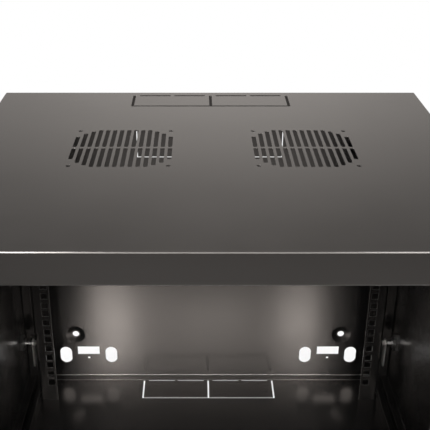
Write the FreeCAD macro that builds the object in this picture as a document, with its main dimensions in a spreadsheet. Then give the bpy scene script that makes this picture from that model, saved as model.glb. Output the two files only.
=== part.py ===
"""Wall mount network cabinet, 9U, for 19 inch equipment, as a parametric FreeCAD document.

Millimetres, +X to the right seen from the front, +Y towards the wall, +Z up. The origin is
the middle of the four wall holes, on the plane where the pressed dimples meet the wall. The
pieces are drawn in the shell's own frame, whose Y = 0 is the outside of the back sheet, or in
the door's frame, whose origin is the hinge line; the Placement of each piece brings it home.
"""
import FreeCAD, Part
import math
import os
import Sketcher

Vector = FreeCAD.Vector
Rotation = FreeCAD.Rotation

DRIVING_SIZES = [
    # shell; its width and height follow from the equipment rails
    ("depth", 440.0),
    ("side_room", 18.8),
    ("sheet", 1.2),
    ("fold_radius", 2.0),
    ("bar_height", 33.0),
    ("bar_lip", 21.2),
    ("side_flange", 30.0),
    # fan grilles in the top
    ("fan_across", 100.0),
    ("fan_forward", 198.5),
    ("fan_hole_pitch", 105.0),
    ("fan_hole", 5.0),
    ("grille_radius", 62.8),
    ("grille_reach", 55.4),
    ("grille_pitch", 8.13),
    ("grille_slot", 4.9),
    ("grille_corner", 1.2),
    ("grille_rib", 3.8),
    # knock-out cable entries, two plates side by side
    ("entry_plate", 98.6),
    ("entry_depth", 42.0),
    ("entry_rear", 13.0),
    ("entry_slot", 3.5),
    ("base_entry_slot", 2.2),
    ("entry_bridge", 4.6),
    ("entry_corner", 7.0),
    ("back_entry_slot", 1.3),
    ("back_entry_drop", 91.0),
    # back sheet
    ("back_flange", 13.0),
    ("back_fold_radius", 2.7),
    ("wall_across", 404.0),
    ("wall_up", 304.0),
    ("wall_hole", 10.0),
    ("dimple_width", 29.0),
    ("dimple_seat", 14.0),
    ("dimple_depth", 2.0),
    ("oblong_width", 17.9),
    ("oblong_height", 29.0),
    ("oblong_rise", 40.8),
    ("oblong_inner", 149.3),
    ("oblong_outer", 218.8),
    ("window_width", 33.4),
    ("window_height", 14.4),
    ("window_across", 183.9),
    ("window_rise", 48.8),
    ("tie_hole", 4.0),
    ("tie_rise", 35.4),
    # posts
    ("frame_sheet", 1.5),
    ("post_width", 25.0),
    ("post_depth", 30.0),
    ("rear_post_width", 14.3),
    ("rear_post_depth", 40.0),
    # depth rails
    ("runner_width", 8.0),
    ("runner_height", 20.0),
    ("runner_slot", 6.6),
    ("runner_slot_reach", 29.0),
    # 19 inch rails
    ("rail_sheet", 2.0),
    ("rail_opening", 450.0),
    ("rail_flange", 25.0),
    ("rail_return", 25.0),
    ("rear_rail_from_back", 60.0),
    ("front_rail_from_front", 65.0),
    ("unit_pitch", 44.45),
    ("unit_base", 26.7),
    ("unit_count", 9),
    ("unit_headroom", 33.25),
    ("hole_from_edge", 7.55),
    ("square_hole", 9.5),
    ("hole_pitch", 15.875),
    ("first_hole", 6.35),
    # rail bolts
    ("bolt_width", 6.0),
    ("bolt_play", 0.4),
    ("bolt_head", 10.0),
    ("bolt_head_height", 4.0),
    ("bolt_end", 1.0),
    ("nut_flats", 10.0),
    ("nut_height", 4.0),
    # removable side panels
    ("side_play", 0.5),
    ("side_return", 10.0),
    ("tongue_gap", 1.0),
    ("tongue_length", 12.0),
    ("tongue_height", 40.0),
    ("tongue_pitch", 140.0),
    ("tongue_slack", 0.3),
    # quarter-turn latches
    ("latch_from_back", 68.0),
    ("latch_from_end", 79.0),
    ("latch_collar", 22.0),
    ("latch_collar_height", 1.5),
    ("latch_barrel", 16.0),
    ("latch_barrel_length", 8.0),
    ("latch_nut_flats", 22.0),
    ("latch_nut_height", 4.0),
    ("plug_width", 9.0),
    ("plug_proud", 0.5),
    ("turning_play", 0.05),
    ("seat_play", 0.02),
    ("coin_slot_width", 1.6),
    ("coin_slot_depth", 1.5),
    ("cam_thick", 1.5),
    ("cam_width", 12.0),
    ("latch_cam_reach", 39.5),
    ("cam_clearance", 1.5),
    ("cam_screw", 3.9),
    ("cam_screw_head", 7.0),
    ("cam_screw_head_height", 3.0),
    ("cam_screw_length", 8.0),
    ("cam_screw_room", 0.5),
    ("cam_corner", 3.5),
    # door
    ("door_open", 105.0),
    ("door_sheet", 1.2),
    ("door_thick", 20.0),
    ("door_side_play", 1.0),
    ("door_end_play", 2.0),
    ("door_fold_radius", 1.5),
    ("hinge_inset", 6.0),
    ("hinge_setback", 5.0),
    ("window_border", 61.0),
    ("window_end_border", 38.0),
    ("glass_thick", 4.0),
    ("glass_lap", 10.0),
    ("glass_radius", 8.0),
    ("seal_thick", 1.0),
    ("clip_sheet", 1.2),
    ("clip_width", 15.0),
    ("clip_foot", 9.0),
    ("clip_lap", 7.0),
    ("clip_across", 110.0),
    ("clip_up", 95.0),
    ("pin_width", 5.0),
    ("pin_collar", 7.0),
    ("pin_collar_height", 3.0),
    ("pin_end", 2.0),
    ("bush_width", 8.0),
    ("bush_collar", 12.0),
    ("bush_gap", 0.3),
    ("lock_from_edge", 37.0),
    ("lock_barrel", 14.0),
    ("lock_collar", 20.0),
    ("lock_collar_height", 2.0),
    ("lock_nut_flats", 19.0),
    ("lock_nut_height", 4.0),
    ("lock_cam_reach", 22.0),
    ("lock_cam_gap", 0.3),
    ("lock_slot_play", 1.5),
    ("key_slot_length", 6.0),
]

DOC = FreeCAD.newDocument("network_cabinet")
SHEET = DOC.addObject("Spreadsheet::Sheet", "sizes")
for row, (alias, amount) in enumerate(DRIVING_SIZES, start=1):
    SHEET.set("A%d" % row, alias)
    SHEET.set("B%d" % row, str(amount))
    SHEET.setAlias("B%d" % row, alias)
DOC.recompute()

PIECES = []
THREAD_SIDES = 12
OCTAGON_CORNER = 1 / (2 + math.sqrt(2))

# Places that several pieces share, as expressions on the driving sizes.
RAIL_X = "(sizes.rail_opening / 2 + sizes.rail_flange)"
INSIDE_X = "(%s + sizes.side_room)" % RAIL_X
HALF_WIDTH = "(%s + sizes.sheet)" % INSIDE_X
HALF_HEIGHT = "((sizes.unit_base + sizes.unit_count * sizes.unit_pitch + sizes.unit_headroom) / 2)"
INSIDE_Z = "(%s - sizes.sheet)" % HALF_HEIGHT
FRONT_Y = "(-sizes.depth)"
POST_FRONT_Y = "(-sizes.depth + sizes.bar_lip)"
POST_REAR_Y = "(-sizes.depth + sizes.bar_lip + sizes.post_depth)"
REAR_POST_Y = "(-sizes.sheet - sizes.rear_post_depth)"
REAR_POST_X = "(%s - sizes.rear_post_width)" % INSIDE_X
RUNNER_MIDDLE_Z = "(%s - sizes.runner_height / 2)" % INSIDE_Z
FRONT_RAIL_Y = "(-sizes.depth + sizes.front_rail_from_front)"
REAR_RAIL_Y = "(-sizes.rear_rail_from_back)"
CAM_FACE_X = "(%s - sizes.cam_clearance)" % REAR_POST_X
UNIT_BASE_Z = "(-%s + sizes.unit_base)" % HALF_HEIGHT
SIDE_END_Z = "(%s - sizes.side_flange - sizes.side_play)" % HALF_HEIGHT
LATCH_Z = "(%s - sizes.latch_from_end)" % SIDE_END_Z
HINGE_X = "(-%s + sizes.hinge_inset)" % HALF_WIDTH
HINGE_Y = "(-sizes.depth + sizes.hinge_setback)"
LATCH_Y = "(-sizes.latch_from_back)"

# The door's own frame: the origin is on the hinge line, X along the closed door.
DOOR_NEAR_X = "(-sizes.hinge_inset + sizes.door_side_play)"
DOOR_FAR_X = "(2 * %s - sizes.hinge_inset - sizes.door_side_play)" % HALF_WIDTH
DOOR_MIDDLE_X = "(%s - sizes.hinge_inset)" % HALF_WIDTH
DOOR_FACE_Y = "(-sizes.hinge_setback)"
DOOR_SKIN_Y = "(-sizes.hinge_setback + sizes.door_sheet)"
DOOR_REAR_Y = "(-sizes.hinge_setback + sizes.door_thick)"
DOOR_END_Z = "(%s - sizes.bar_height - sizes.door_end_play)" % HALF_HEIGHT
GLASS_Y = "(-sizes.hinge_setback + sizes.door_sheet + sizes.seal_thick)"
WINDOW_HALF_X = "(%s - sizes.door_side_play - sizes.window_border)" % HALF_WIDTH
WINDOW_HALF_Z = "(%s - sizes.window_end_border)" % DOOR_END_Z
LOCK_X = "(%s - sizes.lock_from_edge)" % DOOR_FAR_X
LOCK_CAM_Y = "(-sizes.hinge_setback + sizes.bar_lip + sizes.frame_sheet + sizes.lock_cam_gap)"


def number(expression):
    """Work out an expression on the driving sizes."""
    result = SHEET.evalExpression(expression)
    return float(getattr(result, "Value", result))


def signed(side, expression):
    """Mirror a place to the left (side -1) or keep it on the right (side 1)."""
    return "%d * (%s)" % (side, expression)


def ordered(side, near, far):
    """Return two places as lowest, highest, on the left or the right."""
    if side > 0:
        return near, far
    return signed(side, far), signed(side, near)


def in_shell(piece):
    """Place a finished piece that is drawn in the shell's frame."""
    piece.setExpression("Placement.Base.y", "-sizes.dimple_depth")
    PIECES.append(piece)


def on_door(piece):
    """Place a finished piece that is drawn in the door's frame, with the door open."""
    piece.Placement = FreeCAD.Placement(Vector(), Rotation(Vector(0, 0, -1), number("sizes.door_open")))
    piece.setExpression("Placement.Rotation.Angle", "sizes.door_open")
    piece.setExpression("Placement.Base.x", HINGE_X)
    piece.setExpression("Placement.Base.y", HINGE_Y + " - sizes.dimple_depth")
    PIECES.append(piece)


# ---------------------------------------------------------------- sketches and features


def new_body(label):
    body = DOC.addObject("PartDesign::Body", label)
    body.Label = label
    return body


def origin_plane(body, role):
    return [plane for plane in body.Origin.OriginFeatures if plane.Role == role][0]


def new_sketch(body, name, role, offset="0", across="0", up="0"):
    """Attach a sketch to an origin plane, moved along its normal and in the plane."""
    sketch = body.newObject("Sketcher::SketchObject", name)
    sketch.AttachmentSupport = [(origin_plane(body, role), "")]
    sketch.MapMode = "FlatFace"
    sketch.setExpression("AttachmentOffset.Base.x", across)
    sketch.setExpression("AttachmentOffset.Base.y", up)
    sketch.setExpression("AttachmentOffset.Base.z", offset)
    return sketch


def bind(sketch, kind, curve, point, expression):
    """Hold a point of a curve, or its radius, to an expression."""
    if kind == "Radius":
        constraint = Sketcher.Constraint(kind, curve, number(expression))
    else:
        constraint = Sketcher.Constraint(kind, -1, 1, curve, point, number(expression))
    index = sketch.addConstraint(constraint)
    sketch.setExpression("Constraints[%d]" % index, expression)


def draw_loop(sketch, corners):
    """Draw a closed outline of straight lines through corners given as expressions."""
    points = [Vector(number(across), number(up), 0) for across, up in corners]
    first = sketch.GeometryCount
    for here, there in zip(points, points[1:] + points[:1]):
        sketch.addGeometry(Part.LineSegment(here, there), False)
    for index, (across, up) in enumerate(corners):
        following = first + (index + 1) % len(corners)
        sketch.addConstraint(Sketcher.Constraint("Coincident", first + index, 2, following, 1))
        bind(sketch, "DistanceX", first + index, 1, across)
        bind(sketch, "DistanceY", first + index, 1, up)


def draw_rectangle(sketch, left, right, low, high):
    draw_loop(sketch, [(left, low), (right, low), (right, high), (left, high)])


def draw_circle(sketch, across, up, radius):
    centre = Vector(number(across), number(up), 0)
    curve = sketch.addGeometry(Part.Circle(centre, Vector(0, 0, 1), number(radius)), False)
    bind(sketch, "Radius", curve, 0, radius)
    bind(sketch, "DistanceX", curve, 3, across)
    bind(sketch, "DistanceY", curve, 3, up)


def draw_slot(sketch, across, low, high, width):
    """Draw an upright slot with round ends; low and high are the middles of the end arcs."""
    radius = number(width) / 2
    low_centre = Vector(number(across), number(low), 0)
    high_centre = Vector(number(across), number(high), 0)
    to_right = Vector(radius, 0, 0)
    axis = Vector(0, 0, 1)
    cap = Part.ArcOfCircle(Part.Circle(high_centre, axis, radius), 0, math.pi)
    foot = Part.ArcOfCircle(Part.Circle(low_centre, axis, radius), math.pi, 2 * math.pi)
    right_line = Part.LineSegment(low_centre + to_right, high_centre + to_right)
    left_line = Part.LineSegment(high_centre - to_right, low_centre - to_right)
    curves = (right_line, cap, left_line, foot)
    right, top, left, bottom = [sketch.addGeometry(curve, False) for curve in curves]
    for here, there in ((right, top), (top, left), (left, bottom), (bottom, right)):
        sketch.addConstraint(Sketcher.Constraint("Tangent", here, 2, there, 1))
    bind(sketch, "Radius", top, 0, "(%s) / 2" % width)
    sketch.addConstraint(Sketcher.Constraint("Equal", top, bottom))
    bind(sketch, "DistanceX", top, 3, across)
    bind(sketch, "DistanceY", top, 3, high)
    bind(sketch, "DistanceY", bottom, 3, low)
    sketch.addConstraint(Sketcher.Constraint("Vertical", right))


def draw_cut_slot(sketch, across, low, high, width, corner, level=False):
    """Draw a slot with cut corners from one end to the other, upright or level."""
    half = "(%s) / 2" % width
    left = "%s - %s" % (across, half)
    right = "%s + %s" % (across, half)
    corners = [("%s + %s" % (left, corner), low), ("%s - %s" % (right, corner), low),
               (right, "%s + %s" % (low, corner)), (right, "%s - %s" % (high, corner)),
               ("%s - %s" % (right, corner), high), ("%s + %s" % (left, corner), high),
               (left, "%s - %s" % (high, corner)), (left, "%s + %s" % (low, corner))]
    if level:
        corners = [(along, up) for up, along in corners]
    draw_loop(sketch, corners)


def draw_octagon(sketch, across, up, width):
    """Draw a hole with eight equal sides round a place."""
    half = "(%s) / 2" % width
    draw_cut_slot(sketch, across, "%s - %s" % (up, half), "%s + %s" % (up, half), width,
                  "(%s) * %.5f" % (width, OCTAGON_CORNER))


def pad_between(body, name, role, low, high, draw):
    """Pad what draw() puts in a sketch, from one place to another along the plane's axis."""
    along_minus_y = role == "XZ_Plane"
    offset = "-(%s)" % high if along_minus_y else low
    sketch = new_sketch(body, name + "_outline", role, offset)
    draw(sketch)
    pad = body.newObject("PartDesign::Pad", name)
    pad.Profile = sketch
    pad.setExpression("Length", "(%s) - (%s)" % (high, low))
    DOC.recompute()
    return pad


def pocket_between(body, name, role, low, high, draw):
    """Cut what draw() puts in a sketch out of the stretch between two places."""
    along_minus_y = role == "XZ_Plane"
    offset = "-(%s)" % low if along_minus_y else high
    sketch = new_sketch(body, name + "_outline", role, offset)
    draw(sketch)
    before = body.Shape.Volume
    pocket = body.newObject("PartDesign::Pocket", name)
    pocket.Profile = sketch
    pocket.setExpression("Length", "(%s) - (%s)" % (high, low))
    DOC.recompute()
    if not body.Shape.Volume < before:
        raise RuntimeError("pocket %s of %s cuts nothing" % (name, body.Label))
    return pocket


def repeat(body, name, features, transforms):
    """Repeat features by a chain of mirrors and patterns."""
    chain = body.newObject("PartDesign::MultiTransform", name)
    chain.Originals = features
    steps = []
    for kind, settings in transforms:
        step = DOC.addObject("PartDesign::" + kind, "%s_step" % name)
        body.addObject(step)
        for key, setting in settings.items():
            if key == "Length":
                step.setExpression("Length", setting)
            else:
                setattr(step, key, setting)
        steps.append(step)
    chain.Transformations = steps
    body.Tip = chain
    DOC.recompute()
    return chain


def mirror_across(body, role):
    return "Mirrored", {"MirrorPlane": (origin_plane(body, role), [""])}


def round_edges(body, name, radius, middles):
    """Fillet the edges whose middles lie at the given places."""
    feature = body.Tip
    wanted = [Vector(number(x), number(y), number(z)) for x, y, z in middles]
    names = []
    for index, edge in enumerate(feature.Shape.Edges, start=1):
        middle = edge.valueAt((edge.FirstParameter + edge.LastParameter) / 2)
        if any(middle.distanceToPoint(place) < 0.01 for place in wanted):
            names.append("Edge%d" % index)
    if len(names) != len(wanted):
        raise RuntimeError("%s of %s finds %d of %d edges" % (name, body.Label, len(names), len(wanted)))
    fillet = body.newObject("PartDesign::Fillet", name)
    fillet.Base = (feature, names)
    fillet.setExpression("Radius", radius)
    DOC.recompute()
    return fillet


# ---------------------------------------------------------------- turned and hexagon pieces

TURNS = {
    "+X": Rotation(Vector(0, 1, 0), 90),
    "-X": Rotation(Vector(0, 1, 0), -90),
    "+Y": Rotation(Vector(1, 0, 0), -90),
    "-Y": Rotation(Vector(1, 0, 0), 90),
    "+Z": Rotation(Vector(0, 0, 1), 0),
    "-Z": Rotation(Vector(1, 0, 0), 180),
}


def stand(primitive, way, place):
    """Turn a primitive's axis to one of TURNS and bind its base point."""
    primitive.Placement = FreeCAD.Placement(Vector(), TURNS[way])
    for axis, expression in zip("xyz", place):
        primitive.setExpression("Placement.Base." + axis, expression)
    return primitive


def rod(name, width, length, way, place):
    """A round bar of a given width (diameter) that starts at place."""
    bar = DOC.addObject("Part::Cylinder", name)
    bar.setExpression("Radius", "(%s) / 2" % width)
    bar.setExpression("Height", length)
    return stand(bar, way, place)


def prism(name, sides, corners, length, way, place):
    """A straight bar with flat sides; corners is its width from corner to corner."""
    bar = DOC.addObject("Part::Prism", name)
    bar.Polygon = sides
    bar.setExpression("Circumradius", "(%s) / 2" % corners)
    bar.setExpression("Height", length)
    return stand(bar, way, place)


def hexagon(name, flats, length, way, place):
    return prism(name, 6, "(%s) * 2 / sqrt(3)" % flats, length, way, place)


def thread(name, width, length, way, place):
    """A threaded shank, as a bar with few sides inside the thread's width."""
    return prism(name, THREAD_SIDES, width, length, way, place)


def threaded_bore(name, width, length, way, place):
    """What is cut out for a thread, with its flats outside the thread's width."""
    corners = "(%s) * %.5f" % (width, 1 / math.cos(math.pi / THREAD_SIDES))
    return prism(name, THREAD_SIDES, corners, length, way, place)


def block(name, size, place):
    """A straight block, from its lowest corner."""
    box = DOC.addObject("Part::Box", name)
    for key, expression in zip(("Length", "Width", "Height"), size):
        box.setExpression(key, expression)
    return stand(box, "+Z", place)


def joined(name, pieces):
    fuse = DOC.addObject("Part::MultiFuse", name)
    fuse.Shapes = pieces
    return fuse


def less(name, base, tool):
    cut = DOC.addObject("Part::Cut", name)
    cut.Base = base
    cut.Tool = tool
    return cut


def labelled(piece, label):
    piece.Label = label
    return piece


def group(label, pieces):
    """Identical small pieces that share one node as separate solids."""
    gathered = DOC.addObject("Part::Compound", label)
    gathered.Links = pieces
    return gathered


def screw(name, width, head, head_height, length, way, place):
    """A shank that starts under the hexagon head and runs in the given way."""
    back = {"+X": "-X", "-X": "+X", "+Y": "-Y", "-Y": "+Y"}[way]
    shank = thread(name + "_shank", width, length, way, place)
    return joined(name, [shank, hexagon(name + "_head", head, head_height, back, place)])


def ring_nut(name, flats, bore, height, way, place):
    blank = hexagon(name + "_blank", flats, height, way, place)
    return less(name, blank, threaded_bore(name + "_bore", bore, height, way, place))


# ---------------------------------------------------------------- shell


def draw_entry(sketch, front, rear, slot):
    """Two knock-out plates side by side: an E-shaped slot and a dashed line behind it."""
    half = "%s / 2" % slot
    near = "%s - %s" % (front, half)
    far = "%s + %s" % (front, half)
    tines = []
    for column in ("sizes.entry_plate", "0", "-sizes.entry_plate"):
        right = "%s + %s" % (column, half)
        left = "%s - %s" % (column, half)
        tines += [(right, far), (right, rear), (left, rear), (left, far)]
    outer_right, outer_left = tines[0][0], tines[-1][0]
    draw_loop(sketch, [(outer_left, near), (outer_right, near)] + tines[1:-1])
    first_dash = ("sizes.entry_corner", "(sizes.entry_plate - sizes.entry_bridge) / 2")
    second_dash = ("(sizes.entry_plate + sizes.entry_bridge) / 2", "sizes.entry_plate - sizes.entry_corner")
    for start, end in (first_dash, second_dash):
        for side in (-1, 1):
            low, high = ordered(side, start, end)
            draw_rectangle(sketch, low, high, "%s - %s" % (rear, half), "%s + %s" % (rear, half))


def draw_grille_quarter(sketch):
    """The slots of a quarter of a fan grille, cut off by a circle, and one fan screw hole."""
    reach = min(number("sizes.grille_reach"), number("sizes.grille_radius"))
    count = int(reach / number("sizes.grille_pitch") + 0.5)
    for index in range(count):
        across = "%.1f * sizes.grille_pitch" % (index + 0.5)
        chord = "sqrt(sizes.grille_radius ^ 2 - (%s) ^ 2)" % across
        far = "min(sizes.grille_reach; %s)" % chord
        draw_cut_slot(sketch, across, "sizes.grille_rib / 2", far, "sizes.grille_slot", "sizes.grille_corner")
    draw_circle(sketch, "sizes.fan_hole_pitch / 2", "sizes.fan_hole_pitch / 2", "sizes.fan_hole / 2")


def cover(label, up):
    """The top (up 1) or the base (up -1): a folded tray with a front bar and side flanges."""
    body = new_body(label)
    outer = signed(up, HALF_HEIGHT)
    inner = signed(up, INSIDE_Z)
    bar = signed(up, HALF_HEIGHT + " - sizes.bar_height")
    lip = signed(up, HALF_HEIGHT + " - sizes.bar_height + sizes.sheet")
    flange = signed(up, HALF_HEIGHT + " - sizes.side_flange")
    behind_bar = FRONT_Y + " + sizes.sheet"

    def folded_section(sketch):
        draw_loop(sketch, [("0", inner), ("0", outer), (FRONT_Y, outer), (FRONT_Y, bar), (POST_FRONT_Y, bar),
                           (POST_FRONT_Y, lip), (behind_bar, lip), (behind_bar, inner)])

    def side_section(sketch):
        draw_loop(sketch, [("0", outer), (FRONT_Y, outer), (FRONT_Y, bar), (POST_FRONT_Y, bar),
                           (POST_FRONT_Y, flange), ("0", flange)])

    pad_between(body, "folded_sheet", "YZ_Plane", "-" + HALF_WIDTH, HALF_WIDTH, folded_section)
    flange_pad = pad_between(body, "side_flange", "YZ_Plane", INSIDE_X, HALF_WIDTH, side_section)
    repeat(body, "side_flanges", [flange_pad], [mirror_across(body, "YZ_Plane")])
    bar_middle = signed(up, HALF_HEIGHT + " - sizes.bar_height / 2")
    outside = [("0", FRONT_Y, outer), ("0", FRONT_Y, bar)]
    outside += [(signed(side, HALF_WIDTH), FRONT_Y + " / 2", outer) for side in (-1, 1)]
    outside += [(signed(side, HALF_WIDTH), FRONT_Y, bar_middle) for side in (-1, 1)]
    round_edges(body, "outer_folds", "sizes.fold_radius", outside)
    inside = [("0", behind_bar, inner), ("0", behind_bar, lip)]
    inside += [(signed(side, INSIDE_X), "(%s) / 2" % behind_bar, inner) for side in (-1, 1)]
    round_edges(body, "inner_folds", "sizes.fold_radius - sizes.sheet", inside)
    low, high = ordered(up, INSIDE_Z, HALF_HEIGHT)

    def knock_outs(sketch):
        slot = "sizes.entry_slot" if up > 0 else "sizes.base_entry_slot"
        draw_entry(sketch, "-sizes.entry_rear - sizes.entry_depth", "-sizes.entry_rear", slot)

    def bush_hole(sketch):
        draw_circle(sketch, HINGE_X, HINGE_Y, "sizes.bush_width / 2")

    pocket_between(body, "cable_entry", "XY_Plane", low, high, knock_outs)
    lip_face = HALF_HEIGHT + " - sizes.bar_height"
    low, high = ordered(up, lip_face, lip_face + " + sizes.sheet")
    pocket_between(body, "bush_hole", "XY_Plane", low, high, bush_hole)
    if up > 0:
        sketch = new_sketch(body, "grille_quarter", "XY_Plane", HALF_HEIGHT, "sizes.fan_across",
                            "-sizes.fan_forward")
        draw_grille_quarter(sketch)
        slots = body.newObject("PartDesign::Pocket", "grille_slots")
        slots.Profile = sketch
        slots.setExpression("Length", "sizes.sheet")
        DOC.recompute()
        mirrors = [("Mirrored", {"MirrorPlane": (sketch, ["V_Axis"])}),
                   ("Mirrored", {"MirrorPlane": (sketch, ["H_Axis"])}),
                   mirror_across(body, "YZ_Plane")]
        repeat(body, "fan_grilles", [slots], mirrors)
    in_shell(body)


def back_panel():
    """The back sheet, with dimpled wall holes, tie cut-outs and a knock-out cable entry."""
    body = new_body("back_panel")
    flange_front = "-sizes.back_flange"

    def folded_section(sketch):
        inner = INSIDE_Z + " - sizes.sheet"
        draw_loop(sketch, [("0", "-" + INSIDE_Z), ("0", INSIDE_Z), (flange_front, INSIDE_Z),
                           (flange_front, inner), ("-sizes.sheet", inner), ("-sizes.sheet", "-(%s)" % inner),
                           (flange_front, "-(%s)" % inner), (flange_front, "-" + INSIDE_Z)])

    def corner_notch(sketch):
        draw_rectangle(sketch, REAR_POST_X, INSIDE_X, flange_front, "-sizes.sheet")

    def wall_holes(sketch):
        draw_circle(sketch, "sizes.wall_across / 2", "sizes.wall_up / 2", "sizes.dimple_width / 2")

    def tie_cut_outs(sketch):
        oblong_z = "-%s + sizes.oblong_rise" % HALF_HEIGHT
        straight = "(sizes.oblong_height - sizes.oblong_width) / 2"
        for across in ("sizes.oblong_inner", "sizes.oblong_outer"):
            draw_slot(sketch, across, "%s - %s" % (oblong_z, straight), "%s + %s" % (oblong_z, straight),
                      "sizes.oblong_width")
        window_z = "-%s + sizes.window_rise" % HALF_HEIGHT
        draw_rectangle(sketch, "sizes.window_across - sizes.window_width / 2",
                       "sizes.window_across + sizes.window_width / 2",
                       window_z + " - sizes.window_height / 2", window_z + " + sizes.window_height / 2")
        draw_circle(sketch, "sizes.window_across", "-%s + sizes.tie_rise" % HALF_HEIGHT, "sizes.tie_hole / 2")

    def knock_outs(sketch):
        bottom = HALF_HEIGHT + " - sizes.back_entry_drop"
        draw_entry(sketch, bottom, bottom + " + sizes.entry_depth", "sizes.back_entry_slot")

    pad_between(body, "folded_sheet", "YZ_Plane", "-" + INSIDE_X, INSIDE_X, folded_section)
    outside = [("0", "0", signed(up, INSIDE_Z)) for up in (-1, 1)]
    round_edges(body, "outer_folds", "sizes.back_fold_radius", outside)
    inside = [("0", "-sizes.sheet", signed(up, INSIDE_Z + " - sizes.sheet")) for up in (-1, 1)]
    round_edges(body, "inner_folds", "sizes.back_fold_radius - sizes.sheet", inside)
    both_sides = [mirror_across(body, "YZ_Plane")]
    every_corner = both_sides + [mirror_across(body, "XY_Plane")]
    notch_z = INSIDE_Z + " - sizes.back_fold_radius"
    notch = pocket_between(body, "post_notch", "XY_Plane", notch_z, INSIDE_Z, corner_notch)
    repeat(body, "post_notches", [notch], every_corner)
    hole = pocket_between(body, "dimple_opening", "XZ_Plane", "-sizes.sheet", "0", wall_holes)
    repeat(body, "dimple_openings", [hole], every_corner)
    cut_outs = pocket_between(body, "tie_cut_outs", "XZ_Plane", "-sizes.sheet", "0", tie_cut_outs)
    repeat(body, "all_tie_cut_outs", [cut_outs], both_sides)
    pocket_between(body, "cable_entry", "XZ_Plane", "-sizes.sheet", "0", knock_outs)
    sketch = new_sketch(body, "dimple_section", "XY_Plane", "sizes.wall_up / 2", "sizes.wall_across / 2")
    draw_loop(sketch, [("sizes.dimple_width / 2", "-sizes.sheet"), ("sizes.dimple_width / 2", "0"),
                       ("sizes.dimple_seat / 2", "sizes.dimple_depth"),
                       ("sizes.wall_hole / 2", "sizes.dimple_depth"),
                       ("sizes.wall_hole / 2", "sizes.dimple_depth - sizes.sheet"),
                       ("sizes.dimple_seat / 2", "sizes.dimple_depth - sizes.sheet")])
    dimple = body.newObject("PartDesign::Revolution", "dimple")
    dimple.Profile = sketch
    dimple.ReferenceAxis = (sketch, ["V_Axis"])
    dimple.Angle = 360
    DOC.recompute()
    repeat(body, "dimples", [dimple], every_corner)
    in_shell(body)


def front_post(label, side):
    """A folded channel behind the bars; the right one has the slot for the lock's cam."""
    body = new_body(label)
    inner_x = "(%s - sizes.post_width)" % INSIDE_X

    def section(sketch):
        x_in = signed(side, inner_x)
        x_in_face = signed(side, inner_x + " + sizes.frame_sheet")
        x_out_face = signed(side, INSIDE_X + " - sizes.frame_sheet")
        x_out = signed(side, INSIDE_X)
        behind_web = POST_FRONT_Y + " + sizes.frame_sheet"
        draw_loop(sketch, [(x_in, POST_FRONT_Y), (x_out, POST_FRONT_Y), (x_out, POST_REAR_Y),
                           (x_out_face, POST_REAR_Y), (x_out_face, behind_web), (x_in_face, behind_web),
                           (x_in_face, POST_REAR_Y), (x_in, POST_REAR_Y)])

    def cam_slot(sketch):
        behind_web = POST_FRONT_Y + " + sizes.frame_sheet"
        room = "sizes.lock_cam_gap + sizes.cam_thick + sizes.lock_slot_play"
        draw_rectangle(sketch, behind_web, "%s + %s" % (behind_web, room),
                       "-sizes.cam_width / 2 - sizes.lock_slot_play", "sizes.lock_cam_reach")

    pad_between(body, "channel", "XY_Plane", "-" + INSIDE_Z, INSIDE_Z, section)
    edges = [(signed(side, INSIDE_X), POST_FRONT_Y, "0"), (signed(side, inner_x), POST_FRONT_Y, "0")]
    round_edges(body, "folds", "sizes.frame_sheet", edges)
    if side > 0:
        pocket_between(body, "cam_slot", "YZ_Plane", inner_x, inner_x + " + sizes.frame_sheet", cam_slot)
    in_shell(body)


def rear_post(label, side):
    """A folded channel that stands on the back sheet; the latches catch on its inner leg."""
    body = new_body(label)

    def section(sketch):
        x_in = signed(side, REAR_POST_X)
        x_in_face = signed(side, REAR_POST_X + " + sizes.frame_sheet")
        x_out_face = signed(side, INSIDE_X + " - sizes.frame_sheet")
        x_out = signed(side, INSIDE_X)
        web_face = REAR_POST_Y + " + sizes.frame_sheet"
        draw_loop(sketch, [(x_in, REAR_POST_Y), (x_out, REAR_POST_Y), (x_out, "-sizes.sheet"),
                           (x_out_face, "-sizes.sheet"), (x_out_face, web_face), (x_in_face, web_face),
                           (x_in_face, "-sizes.sheet"), (x_in, "-sizes.sheet")])

    pad_between(body, "channel", "XY_Plane", "-" + INSIDE_Z, INSIDE_Z, section)
    edges = [(signed(side, INSIDE_X), REAR_POST_Y, "0"), (signed(side, REAR_POST_X), REAR_POST_Y, "0")]
    round_edges(body, "folds", "sizes.frame_sheet", edges)
    in_shell(body)


# ---------------------------------------------------------------- 19 inch rails


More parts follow.
